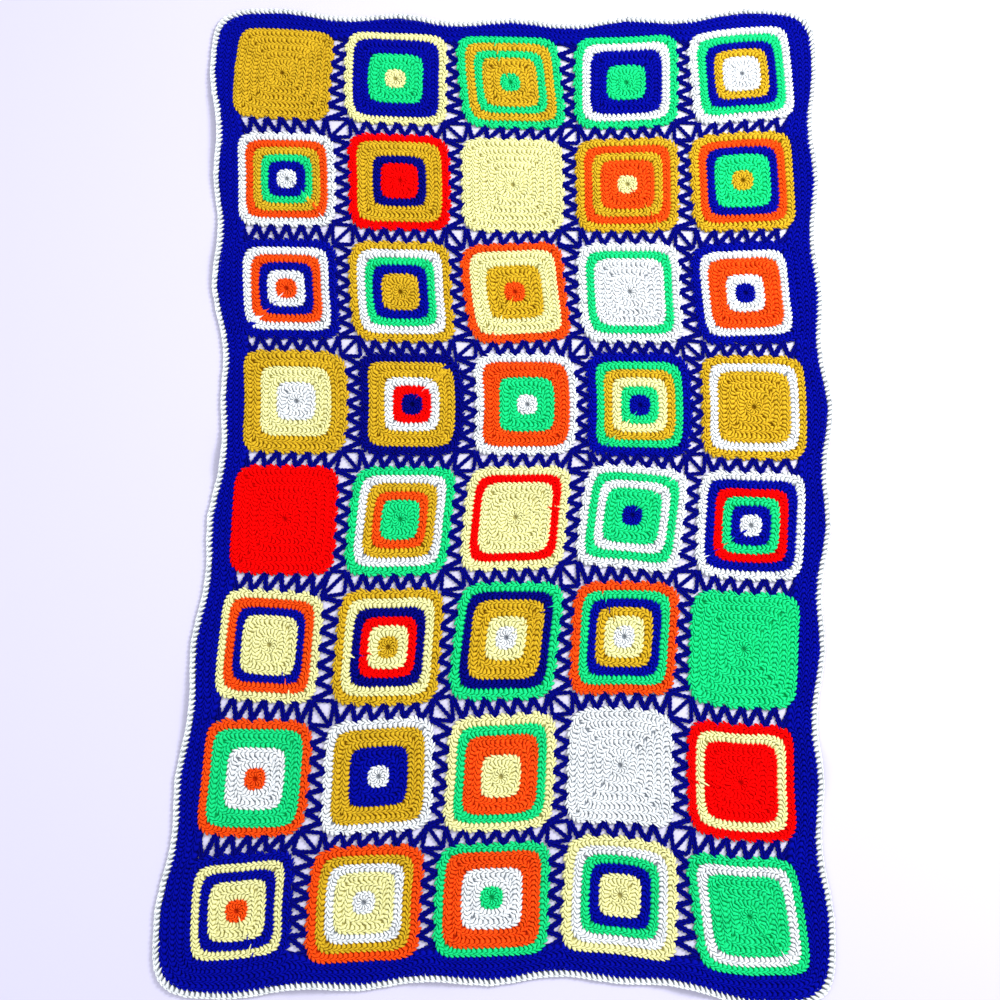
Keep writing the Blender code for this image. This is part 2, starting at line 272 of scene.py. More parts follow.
# The edging's stitch: a tooth that widens outwards, and a loop along its end.
EDGING_POINT = (
    Bend(-2.4, -2.8, 1.6, 0.2),
    Bend(-1.3, 0.6, 2.9, 1.3),
    Bend(0.1, 4.0, 2.9, 2.4),
    Bend(0.9, 7.4, 1.8, 3.1),
)
EDGING_LOOP = (
    Bend(-3.6, 7.4, 1.2, 1.2),
    Bend(-1.0, 8.1, 2.7, 1.6),
    Bend(1.6, 8.7, 2.5, 1.4),
    Bend(3.8, 9.2, 0.8, 0.8),
)
EDGING = (EDGING_POINT, EDGING_LOOP)
# The two sides of a link in a crochet chain.
CHAIN_LEFT = (
    Bend(-3.2, 0.8, 0.4, 1.4),
    Bend(-0.4, 1.85, 2.8, 1.9),
    Bend(2.6, 1.0, 1.2, 1.4),
)
CHAIN_RIGHT = (
    Bend(-3.2, -0.8, 0.4, 1.4),
    Bend(-0.4, -1.85, 2.8, 1.9),
    Bend(2.6, -1.0, 1.2, 1.4),
)
CHAIN = (CHAIN_LEFT, CHAIN_RIGHT)
STRAND_SIDES = 4  # corners across a strand, from its one side over its top to the other
STRAND_ROUNDNESS = 0.7  # below 1 makes a strand's shoulders fuller than a half circle's
STRAND_SUNK = 0.35  # millimetres that a strand's sides are sunk into the sheet under it
SIDE_PAINTED_LIGHT = 0.3  # the painted light at a strand's sides, where it is 1 on the crown: painted shade where the strand turns away
LOW_PAINTED_LIGHT = 0.3  # the share of its painted light that a strand keeps where it lies on the sheet, as painted shade in the creases
PAINTED_LIGHT_HEIGHT = 2.8  # millimetres up that would add the whole of its painted light to that
PLY_LENGTH = 1.7  # millimetres along a strand from one ply of its yarn to the next
PLY_SLANT = 1.3  # plies that a line straight across a strand passes

PAINTED_LIGHT_AND_PLY = ("painted_light", "ply")  # a corner's painted light, with painted shade on a strand's sides and deep in the creases, and its place across the yarn's plies

# How unevenly one stitch and the next are made, as standard deviations.
SLIP = 0.035  # along the round, in stitches
PUSH = 0.018  # out from the round's start, in rounds
SWELL = 0.07  # of its height
SHADE = 0.07  # in its painted light, which runs from 0 to 1, so that one stitch's colour differs at random from the next

# Each yarn's colour on the crowns of its strands, and its painted shade: a darker colour that stands in
# for the shadow in the creases between them and on the base sheets.
Yarn = namedtuple("Yarn", "colour shade")
YARNS = {
    "white": Yarn((0.85, 0.88, 0.90), (0.18, 0.20, 0.23)),
    "cream": Yarn((0.86, 0.85, 0.41), (0.32, 0.28, 0.08)),
    "gold": Yarn((0.68, 0.43, 0.020), (0.16, 0.075, 0.001)),
    "orange": Yarn((0.94, 0.080, 0.006), (0.36, 0.015, 0.001)),
    "red": Yarn((0.96, 0.0008, 0.0008), (0.50, 0.0003, 0.0003)),
    "green": Yarn((0.010, 0.70, 0.23), (0.002, 0.27, 0.07)),
    "blue": Yarn((0.0008, 0.003, 0.33), (0.0003, 0.0008, 0.10)),
    "navy": Yarn((0.001, 0.002, 0.21), (0.0003, 0.0004, 0.05)),
}

YARN_ROUGHNESS = 0.82
YARN_SHINE = 0.03
FIBRE_SCALE = 900.0  # of the noise that draws the fibres, for each metre
FIBRE_DETAIL = 2.0
PLY_RELIEF = 0.3  # how deep the plies are beside the fibres
RELIEF_IN_COLOUR = 0.5  # how much of the relief shows in the colour: painted shade in the plies' grooves, and fibre-to-fibre colour that differs at random
BUMP_STRENGTH = 0.5
BUMP_HEIGHT = 0.0004

CAMERA_PLACE = (0.0248, -0.2541, 1.3121)
CAMERA_RIGHT = (0.99956, 0.02076, -0.02100)
CAMERA_UP = (-0.01704, 0.98633, 0.16387)
CAMERA_BACK = (0.02411, -0.16345, 0.98626)
CAMERA_LENS = 39.6  # in millimetres, as is the sensor
CAMERA_SENSOR = 36.0

Lamp = namedtuple("Lamp", "name place size power")
LAMPS = (
    Lamp("key", (1.6, 0.9, 1.5), 0.8, 68.0),
    Lamp("fill", (-1.8, -0.6, 2.2), 2.2, 22.0),
)
SKY_COLOUR = (0.95, 0.97, 1.0, 1.0)
SKY_STRENGTH = 0.75
FLOOR_COLOUR = (0.62, 0.60, 0.78, 1.0)
FLOOR_ROUGHNESS = 0.9
FLOOR_SIZE = 60.0


def smooth_between(values, place):
    """The values at places between evenly spaced rows of values, on curves through them all."""
    values = np.asarray(values, float)
    if values.ndim == 1:
        values = np.repeat(values[:, None], len(place), axis=1)
    last = len(values) - 1
    place = np.clip(place, 0.0, last)
    start = np.minimum(place.astype(int), last - 1)
    each = np.arange(len(place))
    t = place - start
    here = values[start, each]
    after = values[start + 1, each]
    slope_here = (after - values[np.maximum(start - 1, 0), each]) / 2
    slope_after = (values[np.minimum(start + 2, last), each] - here) / 2
    rise = after - here
    square_term = 3 * rise - 2 * slope_here - slope_after
    cube_term = slope_here + slope_after - 2 * rise
    return here + t * (slope_here + t * (square_term + t * cube_term))


def moved(x, y):
    """Places on the even grid, moved as the cloth was laid, before the outline is centred."""
    column_place = x / PITCH + (COLUMNS - 1) / 2
    row_place = (ROWS - 1) / 2 - y / PITCH
    asides = [smooth_between(row.asides, column_place / 2) for row in LAID_ROWS]
    ups = [smooth_between(row.ups, column_place) for row in LAID_ROWS]
    return (
        x + smooth_between(asides, row_place) * MM,
        y + smooth_between(ups, row_place) * MM,
    )


def square_centre(row, column):
    x = (column - (COLUMNS + 1) / 2) * PITCH
    y = ((ROWS + 1) / 2 - row) * PITCH
    return x, y


def superellipse(angles, fullness):
    """x and y round a rounded square of half side 1."""
    x = np.cos(angles)
    y = np.sin(angles)
    return (
        np.copysign(np.abs(x) ** (2 / fullness), x),
        np.copysign(np.abs(y) ** (2 / fullness), y),
    )


def in_square(row, column, x, y):
    """Places about a square's centre, on the grid, turned and leaning as the square is."""
    pull = PULLED_SQUARES.get((row, column), NOT_PULLED)
    x = x + pull.lean * y
    cosine = math.cos(math.radians(pull.turn))
    sine = math.sin(math.radians(pull.turn))
    centre_x, centre_y = square_centre(row, column)
    return centre_x + x * cosine - y * sine, centre_y + x * sine + y * cosine


def square_half(row, column):
    return SQUARE_HALF * PULLED_SQUARES.get((row, column), NOT_PULLED).size


def frame_offset():
    """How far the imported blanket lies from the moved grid, from the box of its middle square."""
    row, column = MIDDLE_SQUARE
    low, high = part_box(f"granny_square_r{row}_c{column}")
    x, y = superellipse(np.arange(FRAME_STEPS) * TURN / FRAME_STEPS, SQUARE_FULLNESS)
    half = square_half(row, column)
    x, y = moved(*in_square(row, column, x * half, y * half))
    return (
        (low.x + high.x - x.min() - x.max()) / 2,
        (low.y + high.y - y.min() - y.max()) / 2,
    )


def laid(x, y):
    """Places on the even grid where they lie in the blanket."""
    x, y = moved(x, y)
    return x + OFFSET[0], y + OFFSET[1]


class Outline:
    """A rounded square of half side 1 that is read at even steps of its length, anticlockwise from +X."""

    STEPS = 720

    def __init__(self, fullness):
        self.x, self.y = superellipse(np.linspace(0.0, TURN, self.STEPS + 1), fullness)
        steps = np.hypot(np.diff(self.x), np.diff(self.y))
        self.share = np.concatenate(([0.0], np.cumsum(steps))) / steps.sum()

    def at(self, share):
        share = share % 1.0
        return np.interp(share, self.share, self.x), np.interp(share, self.share, self.y)


def strand_shape(bends, height, pitch):
    """A half-round strand through its bends: rows of corners, each along, out, up, painted light and ply.
    """
    line = np.array([bend[:2] for bend in bends])
    run = np.concatenate(([0.0], np.cumsum(np.linalg.norm(np.diff(line, axis=0), axis=1))))
    ahead = np.gradient(line, axis=0)
    ahead /= np.linalg.norm(ahead, axis=1)[:, None]
    aside = np.stack((ahead[:, 1], -ahead[:, 0]), axis=1)
    round_it = np.linspace(0.0, math.pi, STRAND_SIDES)
    rows = []
    for index, bend in enumerate(bends):
        reach = -np.cos(round_it) * bend.half_width
        up = np.sin(round_it) ** STRAND_ROUNDNESS * bend.up - STRAND_SUNK
        along = (bend.along + aside[index, 0] * reach) / pitch
        out = (bend.out + aside[index, 1] * reach) / height
        # Painted light: full on the crown, with painted shade towards the sides and where the strand lies
        # low
        painted_light = SIDE_PAINTED_LIGHT + (1.0 - SIDE_PAINTED_LIGHT) * np.sin(round_it)
        painted_light *= min(1.0, LOW_PAINTED_LIGHT + bend.up / PAINTED_LIGHT_HEIGHT)
        ply = run[index] / PLY_LENGTH + PLY_SLANT * round_it / math.pi
        rows.append(np.stack((along, out, up, painted_light, ply), axis=1))
    return np.array(rows)


def stitch_shape(strands, height=STITCH_HEIGHT, pitch=STITCH_PITCH):
    """Corners and four-sided faces of one stitch. Along and out are shares of its pitch and height."""
    corners = []
    faces = []
    count = 0
    for bends in strands:
        rows = strand_shape(bends, height, pitch)
        length = len(rows)
        for step in range(length - 1):
            for side in range(STRAND_SIDES - 1):
                first = count + step * STRAND_SIDES + side
                faces.append((first, first + 1, first + STRAND_SIDES + 1, first + STRAND_SIDES))
        corners.append(rows.reshape(-1, rows.shape[2]))
        count += length * STRAND_SIDES
    return np.concatenate(corners), np.array(faces)


class Heap:
    """Faces gathered from several arrays of stitches, to make one mesh."""

    def __init__(self):
        self.places = []
        self.lights_and_plies = []
        self.faces = []
        self.count = 0

    def add(self, places, light_and_ply, faces):
        self.places.append(places)
        self.lights_and_plies.append(light_and_ply.reshape(-1, len(PAINTED_LIGHT_AND_PLY)))
        self.faces.append(faces + self.count)
        self.count += len(places)

    def mesh(self, name, materials, face_materials=None):
        places = np.concatenate(self.places)
        faces = np.concatenate(self.faces)
        mesh = bpy.data.meshes.new(name)
        mesh.vertices.add(len(places))
        mesh.vertices.foreach_set("co", places.astype(np.float32).ravel())
        mesh.loops.add(faces.size)
        mesh.loops.foreach_set("vertex_index", faces.astype(np.int32).ravel())
        mesh.polygons.add(len(faces))
        starts = np.arange(len(faces), dtype=np.int32) * faces.shape[1]
        mesh.polygons.foreach_set("loop_start", starts)
        if face_materials is not None:
            mesh.polygons.foreach_set("material_index", face_materials.astype(np.int32))
        mesh.update(calc_edges=True)
        mesh.polygons.foreach_set("use_smooth", np.ones(len(faces), bool))
        light_and_ply = np.concatenate(self.lights_and_plies).astype(np.float32)
        for column, corner_value_name in enumerate(PAINTED_LIGHT_AND_PLY):
            attribute = mesh.attributes.new(corner_value_name, "FLOAT", "POINT")
            attribute.data.foreach_set("value", np.ascontiguousarray(light_and_ply[:, column]))
        for material in materials:
            mesh.materials.append(material)
        return mesh


def add_piece(name, mesh, slot=None):
    piece = bpy.data.objects.new(name, mesh)
    bpy.context.scene.collection.objects.link(piece)
    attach(piece, "root")
    return piece


def set_of_stitches(shape, count, draw):
    """Copies of a stitch: its corners' along, out, up, and painted light with ply, each with a row for each
    copy.
    """
    corners, faces = shape
    size = len(corners)
    copies = np.arange(count)[:, None]
    slip = draw.normal(0.0, SLIP, (count, 1))
    push = draw.normal(0.0, PUSH, (count, 1))
    swell = draw.normal(1.0, SWELL, (count, 1))
    shade = draw.normal(0.0, SHADE, (count, 1))
    along = copies + 0.5 + corners[None, :, 0] + slip
    out = corners[None, :, 1] + push
    up = corners[None, :, 2] * swell
    painted_light = np.clip(corners[None, :, 3] + shade, 0.0, 1.0)
    light_and_ply = np.stack((painted_light, np.broadcast_to(corners[None, :, 4], painted_light.shape)), axis=2)
    all_faces = (copies[:, :, None] * size + faces[None]).reshape(-1, faces.shape[1])
    return along, out, up, light_and_ply, all_faces


class Square:
    """One square: where its rounds lie, and which of its sides have lace."""

    def __init__(self, row, column, draw):
        self.row = row
        self.column = column
        self.name = f"square_r{row}_c{column}"
        self.half = square_half(row, column)
        self.yarns = [YARN_LETTERS[letter] for letter in SQUARE_ROUNDS[row - 1][column - 1]]
        self.has_lace = np.array([column < COLUMNS, row > 1, column > 1, row < ROWS])
        self.edges = np.array(ROUND_EDGES)
        self.edges[1:-1] += draw.uniform(-EDGE_SPREAD, EDGE_SPREAD, len(self.edges) - 2)

    def scallop(self, turns):
        """How far the last round's edge stands out, in metres, between the places that hold the lace."""
        quarters = 4 * turns + 0.5
        side = np.floor(quarters).astype(int) % 4
        share = quarters % 1.0
        joins = JOIN_STEPS * math.pi * share
        swell = np.where(np.isin(side, JOINED_AT_CORNERS), np.abs(np.sin(joins)), np.abs(np.cos(joins)))
        fade = np.minimum(1.0, SCALLOP_FADE * np.minimum(share, 1.0 - share))
        stand = swell**SCALLOP_POWER - 1.0 + SCALLOP_SHARE
        return np.where(self.has_lace[side], SCALLOP * MM * fade * stand, 0.0)

    def places(self, index, turns, out):
        """Laid places in one of its rounds: turns round it, and out from the round's start to its end."""
        gathered = turns + GATHERED[index] * np.sin(4 * TURN * turns) / (4 * TURN)
        past_corner = turns % 0.25 - 0.125
        stitch = 1.0 / ROUND_STITCHES[index]
        opening = np.sign(past_corner) * np.exp(-np.abs(past_corner) / stitch)
        gathered += CORNER_GAP[index] * stitch * opening
        if index == 0:
            out = np.maximum(out, 0.0)
        inner_x, inner_y = OUTLINES[index].at(gathered)
        outer_x, outer_y = OUTLINES[index + 1].at(turns)
        inner = self.edges[index] * self.half
        outer = np.full_like(turns, self.edges[index + 1] * self.half)
        if index == len(ROUND_STITCHES) - 1:
            outer = outer + self.scallop(turns)
        x = inner_x * inner * (1 - out) + outer_x * outer * out
        y = inner_y * inner * (1 - out) + outer_y * outer * out
        return laid(*in_square(self.row, self.column, x, y))


def square_base(square):
    """The closed sheet under a square's stitches, one ring of faces for each round, above and below, in
    each round's painted shade colour.
    """
    turns = np.arange(BASE_SEGMENTS) / BASE_SEGMENTS
    x, y = OUTLINES[0].at(turns)
    centre = CENTRE * square.half
    rings = [laid(*in_square(square.row, square.column, x * centre, y * centre))]
    for index in range(len(ROUND_STITCHES)):
        last = index == len(ROUND_STITCHES) - 1
        thickness = (square.edges[index + 1] - square.edges[index]) * square.half
        reach = 1.0 - BASE_INSET * MM / thickness if last else 1.0
        rings.append(square.places(index, turns, np.full_like(turns, reach)))
    loops = []
    for level, order in ((BASE_TOP, rings), (BASE_BOTTOM, rings[::-1])):
        for x, y in order:
            loops.append(np.stack((x, y, np.full_like(x, level)), axis=1))
    used = sorted(set(square.yarns))
    by_ring = [used.index(yarn) for yarn in square.yarns]
    by_ring = by_ring + by_ring[-1:] + by_ring[::-1] + by_ring[:1]
    heap = Heap()
    heap.add(*looped_faces(loops))
    return heap, used, np.repeat(by_ring, BASE_SEGMENTS)


def looped_faces(loops):
    """A closed band through loops of places: each is joined to the next, and the last to the first."""
    across = len(loops)
    round_it = len(loops[0])
    places = np.concatenate(loops)
    loop, step = np.meshgrid(np.arange(across), np.arange(round_it), indexing="ij")
    after = (loop + 1) % across
    ahead = (step + 1) % round_it
    faces = np.stack(
        (
            loop * round_it + step,
            after * round_it + step,
            after * round_it + ahead,
            loop * round_it + ahead,
        ),
        axis=-1,
    ).reshape(-1, 4)
    # The base sheets have no painted light: they show the yarn's painted shade colour, as the shadow in the
    # holes between stitches
    return places, np.zeros((len(places), len(PAINTED_LIGHT_AND_PLY))), faces


def square_stitches(square, draw):
    """A heap of stitches for each yarn in a square."""
    heaps = {}
    for index, yarn in enumerate(square.yarns):
        count = ROUND_STITCHES[index]
        shape = FULL_SHAPE if index < FULL_ROUNDS else STITCH_SHAPE
        along, out, up, light_and_ply, faces = set_of_stitches(shape, count, draw)
        # A round turns its corners between two stitches.
        turns = (along + (count / 8) % 1.0) / count
        heap = heaps.setdefault(yarn, Heap())
        add_stitches(heap, square, index, turns, out, up, light_and_ply, faces)
        if index > 0 and (square.row, square.column) in ROUND_STARTS:
            along, out, up, light_and_ply, faces = set_of_stitches(START_SHAPE, 1, draw)
            turns = along / count + ROUND_STARTS[square.row, square.column] / 360.0
            add_stitches(heap, square, index, turns, out, up, light_and_ply, faces)
    return heaps


def add_stitches(heap, square, index, turns, out, up, light_and_ply, faces):
    x, y = square.places(index, turns.ravel(), out.ravel())
    z = BASE_TOP + up.ravel() * MM
    heap.add(np.stack((x, y, z), axis=1), light_and_ply, faces)


def add_square(row, column, draw):
    square = Square(row, column, draw)
    for yarn, heap in sorted(square_stitches(square, draw).items()):
        name = f"{square.name}_{yarn}"
        add_piece(name, heap.mesh(name, [MATERIALS[yarn]]), yarn)
    heap, used, by_face = square_base(square)
    mesh = heap.mesh(f"{square.name}_base", [MATERIALS[yarn] for yarn in used], by_face)
    base = add_piece(f"{square.name}_base", mesh, square.yarns[-1])
    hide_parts(f"granny_{square.name}")


def ripple_height(x, y):
    """How high the blanket's outer edge stands at laid places beside it."""
    half_width = COLUMNS * PITCH / 2
    half_length = ROWS * PITCH / 2
    beside = {
        "left": x < -half_width + PITCH / 2,
        "right": x > half_width - PITCH / 2,
        "bottom": y < -half_length + PITCH / 2,
        "top": y > half_length - PITCH / 2,
    }
    height = np.zeros_like(x)
    for ripple in RIPPLES:
        along = y if ripple.side in ("left", "right") else x
        share = np.abs(along - ripple.along) / ripple.half_length
        swell = ripple.height * (1 + np.cos(math.pi * np.minimum(share, 1.0))) / 2
        height += np.where(beside[ripple.side], swell, 0.0)
    return height


def outer_squares():
    """The squares along the outline, anticlockwise from the lower left, and the ways their sides face."""
    places = [(ROWS, column) for column in range(1, COLUMNS)]
    places += [(row, COLUMNS) for row in range(ROWS, 1, -1)]
    places += [(1, column) for column in range(COLUMNS, 1, -1)]
    places += [(row, 1) for row in range(1, ROWS)]
    for row, column in places:
        sides = []
        if row == ROWS:
            sides.append(-90.0)
        if column == COLUMNS:
            sides.append(0.0)
        if row == 1:
            sides.append(90.0)
        if column == 1:
            sides.append(180.0)
        if sides == [-90.0, 180.0]:
            sides = [-180.0, -90.0]
        yield OuterSquare(row, column, sides)


def drawn_in(share):
    return BORDER_DRAWN_IN * (1 - math.cos(math.pi * share)) / 2


def unit_point(degrees, fullness):
    x, y = superellipse(np.array([math.radians(degrees)]), fullness)
    return float(x[0]), float(y[0])


def border_point(square, degrees, beyond):
    """The outline's point beside a square's edge point, so far beyond the blue border, on the grid."""
    centre_x, centre_y = square_centre(square.row, square.column)
    at_x, at_y = unit_point(degrees, SQUARE_FULLNESS)
    half_x = SQUARE_HALF + beyond + (BORDER_RIGHT if at_x > 0 else BORDER_LEFT)
    half_y = SQUARE_HALF + beyond + (BORDER_TOP if at_y > 0 else BORDER_BOTTOM)
    if square.sides[0] < degrees < square.sides[-1]:
        x, y = unit_point(degrees, BORDER_CORNER_FULLNESS)
        return centre_x + half_x * x, centre_y + half_y * y
    side = min(square.sides, key=lambda facing: abs(degrees - facing))
    out_x = round(math.cos(math.radians(side)))
    out_y = round(math.sin(math.radians(side)))
    share = (at_y * out_x - at_x * out_y) / unit_point(45.0, SQUARE_FULLNESS)[0]
    along = share * BORDER_SPREAD * PITCH
    out_x *= half_x - drawn_in(share)
    out_y *= half_y - drawn_in(share)
    if out_x == 0:
        return centre_x - math.copysign(1.0, out_y) * along, centre_y + out_y
    return centre_x + out_x, centre_y + math.copysign(1.0, out_x) * along


def further_round(square, degrees):
    """Where the border starts beside a square: at its ends it goes further round the square's corners."""
    for side, beyond in ((square.sides[0], -1), (square.sides[-1], 1)):
        if beyond * (degrees - side) > 0:
            return side + (degrees - side) * CORNER_REACH
    return degrees


def border_lines():
    """Three laid lines round the blanket, point for point: beside the squares, the seam and the edge."""
    beside = []
    seam = []
    edge = []
    for square in outer_squares():
        first = square.sides[0] - 45.0
        last = square.sides[-1] + 45.0
        half = square_half(square.row, square.column) - BORDER_OVERLAP
        for index in range(round((last - first) / BORDER_ANGLE_STEP) + 1):
            degrees = first + index * BORDER_ANGLE_STEP
            x, y = unit_point(further_round(square, degrees), EDGE_FULLNESS[-1])
            beside.append(in_square(square.row, square.column, x * half, y * half))
            seam.append(border_point(square, degrees, 0.0))
            edge.append(border_point(square, degrees, EDGING_WIDTH))
    return [np.stack(laid(*np.array(line).T), axis=1) for line in (beside, seam, edge)]


class Band:
    """A closed band between two laid lines, read at even steps along its middle."""

    def __init__(self, inner, outer, inner_rise, outer_rise):
        closed = [np.concatenate((line, line[:1])) for line in (inner, outer)]
        self.inner, self.outer = closed
        middle = (self.inner + self.outer) / 2
        steps = np.linalg.norm(np.diff(middle, axis=0), axis=1)
        self.length = steps.sum()
        self.share = np.concatenate(([0.0], np.cumsum(steps))) / self.length
        self.inner_rise = inner_rise
        self.outer_rise = outer_rise

    def at(self, share, out):
        """x, y and how high the cloth stands there. out is 0 on the inner line and 1 on the outer."""
        share = share % 1.0
        inner = [np.interp(share, self.share, self.inner[:, axis]) for axis in (0, 1)]
        outer = [np.interp(share, self.share, self.outer[:, axis]) for axis in (0, 1)]
        x = inner[0] * (1 - out) + outer[0] * out
        y = inner[1] * (1 - out) + outer[1] * out
        rise = self.inner_rise + (self.outer_rise - self.inner_rise) * np.clip(out, 0.0, 1.0)
        return x, y, rise * ripple_height(outer[0], outer[1])


def band_base(band, rows, reach):
    """The closed sheet under a band's stitches, from one share of the way out to another, in the yarn's
    painted shade colour.
    """
    count = round(band.length / BAND_BASE_STEP)
    shares = np.arange(count) / count
    outs = np.linspace(*reach, rows + 1)
    loops = []
    for level, order in ((BASE_TOP, outs), (BASE_BOTTOM, outs[::-1])):
        for out in order:
            x, y, rise = band.at(shares, np.full_like(shares, out))
            loops.append(np.stack((x, y, rise + level), axis=1))
    heap = Heap()
    heap.add(*looped_faces(loops))
    return heap


def band_stitches(band, shape, pitch, rounds, draw):
    """Rounds of stitches along a band, from its inner line outwards."""
    heap = Heap()
    count = round(band.length / (pitch * MM))
    for index in range(rounds):
        along, out, up, light_and_ply, faces = set_of_stitches(shape, count, draw)
        share = ((along + 0.5 * index) / count).ravel()
        out = (out.ravel() + index) / rounds
        x, y, rise = band.at(share, out)
        z = BASE_TOP + rise + up.ravel() * MM
        heap.add(np.stack((x, y, z), axis=1), light_and_ply, faces)
    return heap


def add_band(name, band, yarn, node, stitches, reach, rows):
    """A band's base sheet and its stitches."""
    stitch_mesh = stitches.mesh(f"{name}_stitches", [MATERIALS[yarn]])
    stitch_piece = add_piece(f"{name}_stitches", stitch_mesh, yarn)
    base_mesh = band_base(band, rows, reach).mesh(f"{name}_base", [MATERIALS[yarn]])
    base = add_piece(f"{name}_base", base_mesh, yarn)
    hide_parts(node)
    return base, stitch_piece


def side_joins(row, column, side):
    """The places on a square's side where the lace is joined on, on the grid, anticlockwise."""
    half = square_half(row, column) - JOIN_INSET
    if side in JOINED_AT_CORNERS:
        shares = np.arange(JOIN_STEPS + 1) / JOIN_STEPS
    else:
        shares = (np.arange(JOIN_STEPS) + 0.5) / JOIN_STEPS
    x, y = OUTLINES[-1].at((side - 0.5 + shares) / 4)
    half = np.where((shares == 0.0) | (shares == 1.0), half + CORNER_STAND_OFF, half)
    return np.stack(in_square(row, column, x * half, y * half), axis=1)


def zigzag(near, far, draw):
    """A line from side to side through two rows of joins that run the same way."""
    line = np.empty((len(near) + len(far), 2))
    line[0::2] = near
    line[1::2] = far
    return line + draw.normal(0.0, JOIN_SPREAD, line.shape)


def zigzag_lines(draw):
    """The chains between neighbouring squares, as points on the grid."""
    lines = []
    for row in range(1, ROWS + 1):
        for column in range(1, COLUMNS + 1):
            if row < ROWS:
                below = side_joins(row + 1, column, TOP)[::-1]
                lines.append(zigzag(side_joins(row, column, BOTTOM), below, draw))
            if column < COLUMNS:
                beside = side_joins(row, column + 1, LEFT)[::-1]
                lines.append(zigzag(side_joins(row, column, RIGHT), beside, draw))
    return lines


def corner_join(row, column, facing):
    """Where the lace is joined on at a square's round corner."""
    half = square_half(row, column) - JOIN_INSET + CORNER_STAND_OFF
    x, y = OUTLINES[-1].at(np.array([facing / 360.0]))
    return np.stack(in_square(row, column, x * half, y * half), axis=1)[0]


def crossing_lines(upper_row, left_column, sign):
    """The chains where four squares meet: one across the middle, and arms that tie its corners."""
    above_left = corner_join(upper_row, left_column, -45.0)
    above_right = corner_join(upper_row, left_column + 1, -135.0)
    below_left = corner_join(upper_row + 1, left_column, 45.0)
    below_right = corner_join(upper_row + 1, left_column + 1, 135.0)
    arms = [
        np.array([above_left, above_right]),
        np.array([above_right, below_right]),
        np.array([below_right, below_left]),
        np.array([below_left, above_left]),
    ]
    across = [above_left, below_right] if sign == "/" else [above_right, below_left]
    return [np.array(across), *arms]


def all_crossing_lines():
    lines = []
    for upper_row, signs in enumerate(CROSSINGS, start=1):
        for left_column, sign in enumerate(signs, start=1):
            lines.extend(crossing_lines(upper_row, left_column, sign))
    return lines


class Route:
    """The laid line that a chain follows through the points of a line on the grid."""

    def __init__(self, line):
        dense = []
        shares = np.linspace(0.0, 1.0, LINK_STEPS, endpoint=False)[:, None]
        for start, end in zip(line[:-1], line[1:]):
            dense.append(start + (end - start) * shares)
        dense = np.concatenate(dense + [line[-1:]])
        self.line = np.stack(laid(*dense.T), axis=1)
        steps = np.linalg.norm(np.diff(self.line, axis=0), axis=1)
        self.run = np.concatenate(([0.0], np.cumsum(steps)))
        self.length = self.run[-1]

    def at(self, run):
        return np.interp(run, self.run, self.line[:, 0]), np.interp(run, self.run, self.line[:, 1])

    def ahead(self, run):
        """The way that the line runs, as a unit vector's x and y."""
        after_x, after_y = self.at(run + CHAIN_AHEAD)
        before_x, before_y = self.at(run - CHAIN_AHEAD)
        x = after_x - before_x
        y = after_y - before_y
        norm = np.maximum(np.hypot(x, y), TINY)
        return x / norm, y / norm

    def from_turn(self, run):
        """How far it is along the line to the nearest point where it turns."""
        turns = self.run[::LINK_STEPS]
        return np.abs(run[:, None] - turns[None, :]).min(axis=1)


def add_chains(heap, lines, width, knot, draw):
    """A crochet chain along each line, so wide, and wider by a knot where it turns."""
    for line in lines:
        route = Route(line)
        count = max(2, round(route.length / (CHAIN_LINK * MM)))
        along, out, up, light_and_ply, faces = set_of_stitches(CHAIN_SHAPE, count, draw)
        run = np.clip(along.ravel() / count, 0.0, 1.0) * route.length
        x, y = route.at(run)
        ahead_x, ahead_y = route.ahead(run)
        near_turn = np.exp(-((route.from_turn(run) / KNOT_REACH) ** 2))
        across = out.ravel() * MM * (width + knot * near_turn)
        z = CHAIN_BASE + up.ravel() * MM
        heap.add(np.stack((x - ahead_y * across, y + ahead_x * across, z), axis=1), light_and_ply, faces)


def attribute_value(tree, name):
    node = tree.nodes.new("ShaderNodeAttribute")
    node.attribute_name = name
    return node.outputs["Fac"]


def math_value(tree, operation, *values, clamp=False):
    """What a Math node gives for its values, each a number or another node's output."""
    node = tree.nodes.new("ShaderNodeMath")
    node.operation = operation
    node.use_clamp = clamp
    for socket, value in zip(node.inputs, values):
        if isinstance(value, bpy.types.NodeSocket):
            tree.links.new(value, socket)
        else:
            socket.default_value = value
    return node.outputs[0]


def fibre_value(tree):
    where = tree.nodes.new("ShaderNodeTexCoord")
    fibres = tree.nodes.new("ShaderNodeTexNoise")
    fibres.inputs["Scale"].default_value = FIBRE_SCALE
    fibres.inputs["Detail"].default_value = FIBRE_DETAIL
    tree.links.new(where.outputs["Object"], fibres.inputs["Vector"])
    return fibres.outputs["Fac"]


def relief_value(tree):
    """The height of the yarn's surface: its plies, with fine fibres over them."""
    twist = math_value(tree, "SINE", math_value(tree, "MULTIPLY", attribute_value(tree, "ply"), TURN))
    return math_value(tree, "MULTIPLY_ADD", twist, PLY_RELIEF, fibre_value(tree))


